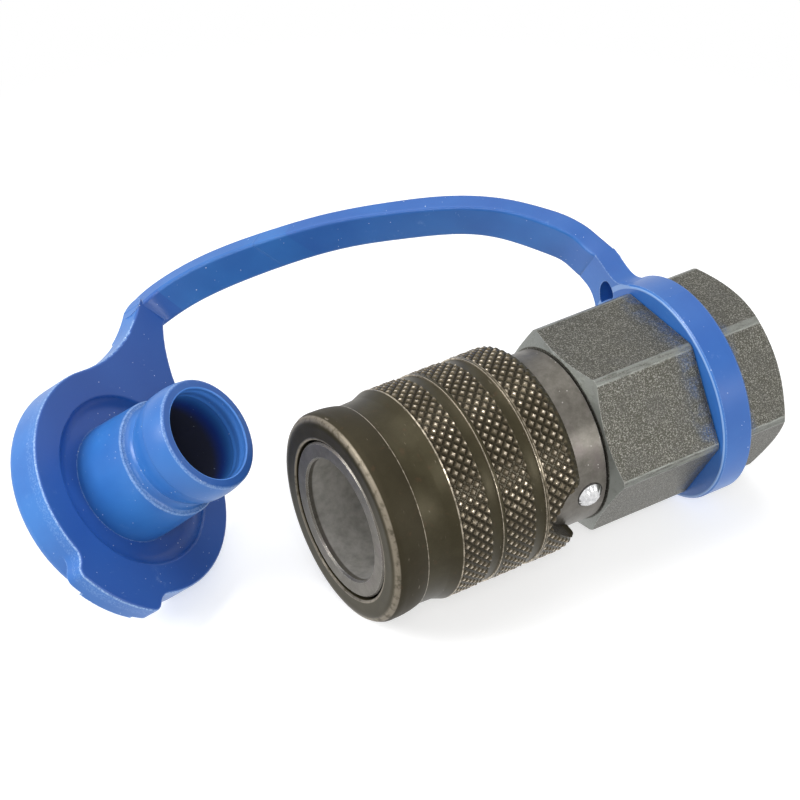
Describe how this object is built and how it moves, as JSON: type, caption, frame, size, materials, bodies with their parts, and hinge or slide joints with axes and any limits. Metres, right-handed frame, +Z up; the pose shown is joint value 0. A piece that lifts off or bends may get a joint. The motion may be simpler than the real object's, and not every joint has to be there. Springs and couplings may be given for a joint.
{
  "type": "quick release coupling",
  "caption": "Female half of a hydraulic quick release coupling with a knurled locking sleeve, hexagonal body, check valve and a tethered dust plug.",
  "frame": {"origin": "on the coupling's axis where the straight bore begins, one chamfer behind the front face", "axes": "+X along the axis from the mouth to the rear port, +Z up as the coupling lies, +Y toward the strap of the dust plug"},
  "size_m": [0.16, 0.1027, 0.0553],
  "materials": {
    "phosphate_hex": "grainy phosphate",
    "steel_body": "satin oiled",
    "steel_sleeve": "dark olive phosphate, worn bright on edges",
    "bright_steel": "polished",
    "spring_steel": "drawn wire",
    "black_rubber": "matt",
    "white_ring": "matt",
    "blue_plastic": "semi-gloss moulding"
  },
  "bodies": {
    "body": {"front_body": "steel_body", "hex_body": "phosphate_hex", "lock_pin": "bright_steel", "sleeve_stop_ring": "spring_steel", "sleeve_spring": "spring_steel", "bore_o_ring": "black_rubber", "backup_ring": "white_ring", "valve_guide": "steel_body", "guide_circlip": "spring_steel", "body_o_ring": "black_rubber"},
    "spring_seat": {"spring_seat_ring": "spring_steel"},
    "sleeve": {"knurled_sleeve": "steel_sleeve"},
    "valve_spring_end": {"valve_spring": "spring_steel"},
    "poppet": {"valve_poppet": "bright_steel", "poppet_seal": "black_rubber"},
    "plug": {"dust_plug": "blue_plastic"},
    "ball_1": {"lock_ball_1": "bright_steel"},
    "ball_2": {"lock_ball_2": "bright_steel"},
    "ball_3": {"lock_ball_3": "bright_steel"},
    "ball_4": {"lock_ball_4": "bright_steel"},
    "ball_5": {"lock_ball_5": "bright_steel"},
    "ball_6": {"lock_ball_6": "bright_steel"},
    "ball_7": {"lock_ball_7": "bright_steel"},
    "ball_8": {"lock_ball_8": "bright_steel"}
  },
  "joints": [
    {"name": "sleeve_pull", "type": "slide", "parent": "body", "child": "spring_seat", "axis": [1, 0, 0], "range_m": [0, 0.006], "stiffness_N_per_m": 830, "springref_m": -0.018, "deforming": ["sleeve_spring"]},
    {"name": "sleeve_turn", "type": "hinge", "parent": "spring_seat", "child": "sleeve", "pos_m": [0.02, 0, 0], "axis": [-1, 0, 0], "range_deg": [-340, 6.5]},
    {"name": "poppet_slide", "type": "slide", "parent": "body", "child": "valve_spring_end", "axis": [1, 0, 0], "range_m": [0, 0.007], "stiffness_N_per_m": 5100, "springref_m": -0.004, "deforming": ["valve_spring"]},
    {"name": "poppet_turn", "type": "hinge", "parent": "valve_spring_end", "child": "poppet", "pos_m": [0.03, 0, 0], "axis": [1, 0, 0], "continuous": true},
    {"name": "plug_ring_turn", "type": "hinge", "parent": "body", "child": "plug", "pos_m": [0.086, 0, 0], "axis": [1, 0, 0], "continuous": true},
    {"name": "ball_1_lift", "type": "slide", "parent": "body", "child": "ball_1", "axis": [0, 0.9239, 0.3827], "range_m": [0, 0.0012]},
    {"name": "ball_2_lift", "type": "slide", "parent": "body", "child": "ball_2", "axis": [0, 0.3827, 0.9239], "range_m": [0, 0.0012]},
    {"name": "ball_3_lift", "type": "slide", "parent": "body", "child": "ball_3", "axis": [0, -0.3827, 0.9239], "range_m": [0, 0.0012]},
    {"name": "ball_4_lift", "type": "slide", "parent": "body", "child": "ball_4", "axis": [0, -0.9239, 0.3827], "range_m": [0, 0.0012]},
    {"name": "ball_5_lift", "type": "slide", "parent": "body", "child": "ball_5", "axis": [0, -0.9239, -0.3827], "range_m": [0, 0.0012]},
    {"name": "ball_6_lift", "type": "slide", "parent": "body", "child": "ball_6", "axis": [0, -0.3827, -0.9239], "range_m": [0, 0.0012]},
    {"name": "ball_7_lift", "type": "slide", "parent": "body", "child": "ball_7", "axis": [0, 0.3827, -0.9239], "range_m": [0, 0.0012]},
    {"name": "ball_8_lift", "type": "slide", "parent": "body", "child": "ball_8", "axis": [0, 0.9239, -0.3827], "range_m": [0, 0.0012]}
  ],
  "couplings": [
    {"joint": "ball_1_lift", "follows": "sleeve_pull", "ratio": 0.2},
    {"joint": "ball_2_lift", "follows": "sleeve_pull", "ratio": 0.2},
    {"joint": "ball_3_lift", "follows": "sleeve_pull", "ratio": 0.2},
    {"joint": "ball_4_lift", "follows": "sleeve_pull", "ratio": 0.2},
    {"joint": "ball_5_lift", "follows": "sleeve_pull", "ratio": 0.2},
    {"joint": "ball_6_lift", "follows": "sleeve_pull", "ratio": 0.2},
    {"joint": "ball_7_lift", "follows": "sleeve_pull", "ratio": 0.2},
    {"joint": "ball_8_lift", "follows": "sleeve_pull", "ratio": 0.2}
  ]
}
